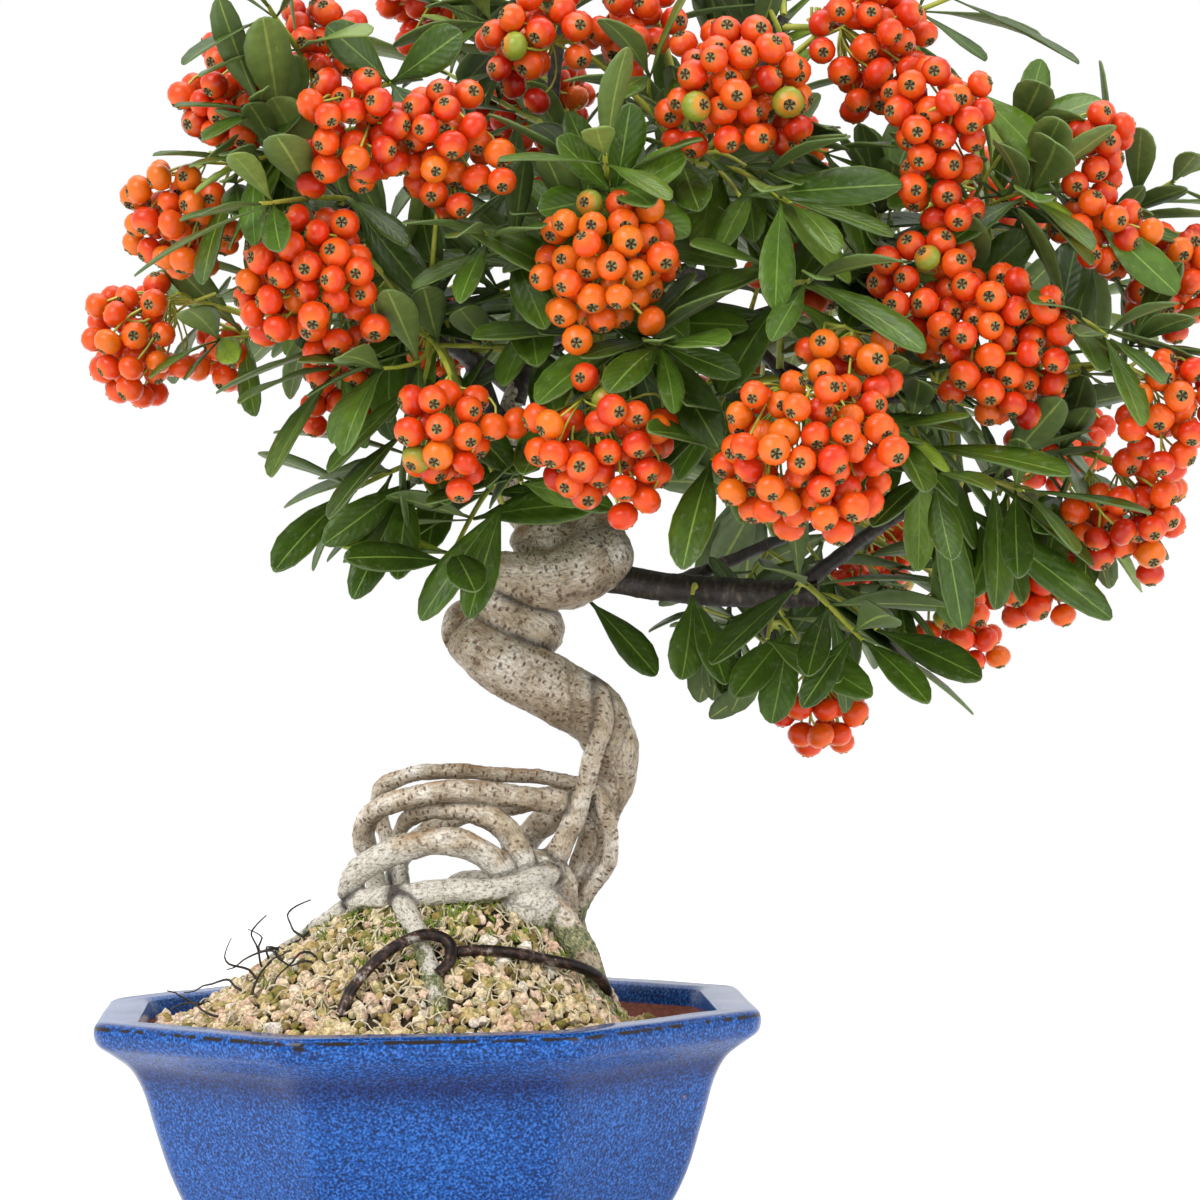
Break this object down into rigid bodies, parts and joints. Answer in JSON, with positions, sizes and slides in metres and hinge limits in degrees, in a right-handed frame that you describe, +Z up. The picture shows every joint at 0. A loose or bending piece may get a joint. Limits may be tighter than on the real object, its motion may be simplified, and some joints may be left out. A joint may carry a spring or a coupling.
{
  "type": "pyracantha bonsai",
  "caption": "Firethorn bonsai with a coiled, bare-rooted trunk, leafy shoots and bunches of orange berries, growing on a mound of granular soil in an octagonal glazed pot.",
  "frame": {"origin": "middle of the whole tree's box in plan, on the surface that the pot stands on", "axes": "+Z up, -Y the front that the picture shows, +X to that view's right, the side that the crown leans to"},
  "size_m": [0.2932, 0.2378, 0.3643],
  "materials": {
    "glaze": "gloss",
    "soil": "matte",
    "wire": "satin",
    "bark": "matte",
    "berry": "satin",
    "leaf": "satin"
  },
  "bodies": {
    "root": {"pot": "glaze", "soil": "soil", "tie_wire": "wire", "trunk": "bark", "berry_bunch_01": "berry", "berry_bunch_02": "berry", "berry_bunch_03": "berry", "berry_bunch_04": "berry", "berry_bunch_05": "berry", "berry_bunch_06": "berry", "berry_bunch_07": "berry", "berry_bunch_08": "berry", "berry_bunch_09": "berry", "berry_bunch_10": "berry", "berry_bunch_11": "berry", "berry_bunch_12": "berry", "berry_bunch_13": "berry", "berry_bunch_14": "berry", "berry_bunch_15": "berry", "berry_bunch_16": "berry", "berry_bunch_17": "berry", "berry_bunch_18": "berry", "berry_bunch_19": "berry", "berry_bunch_20": "berry", "berry_bunch_21": "berry", "berry_bunch_22": "berry", "berry_bunch_23": "berry", "berry_bunch_24": "berry", "berry_bunch_25": "berry", "berry_bunch_26": "berry", "berry_bunch_27": "berry", "berry_bunch_28": "berry", "berry_bunch_29": "berry", "berry_bunch_30": "berry", "berry_bunch_31": "berry", "berry_bunch_32": "berry", "leafy_shoot_01": "leaf", "leafy_shoot_02": "leaf", "leafy_shoot_03": "leaf", "leafy_shoot_04": "leaf", "leafy_shoot_05": "leaf", "leafy_shoot_06": "leaf", "leafy_shoot_07": "leaf", "leafy_shoot_08": "leaf", "leafy_shoot_09": "leaf", "leafy_shoot_10": "leaf", "leafy_shoot_11": "leaf", "leafy_shoot_12": "leaf", "leafy_shoot_13": "leaf", "leafy_shoot_14": "leaf", "leafy_shoot_15": "leaf", "leafy_shoot_16": "leaf", "leafy_shoot_17": "leaf", "leafy_shoot_18": "leaf", "leafy_shoot_19": "leaf", "leafy_shoot_20": "leaf", "leafy_shoot_21": "leaf", "leafy_shoot_22": "leaf", "leafy_shoot_23": "leaf", "leafy_shoot_24": "leaf"}
  },
  "joints": []
}
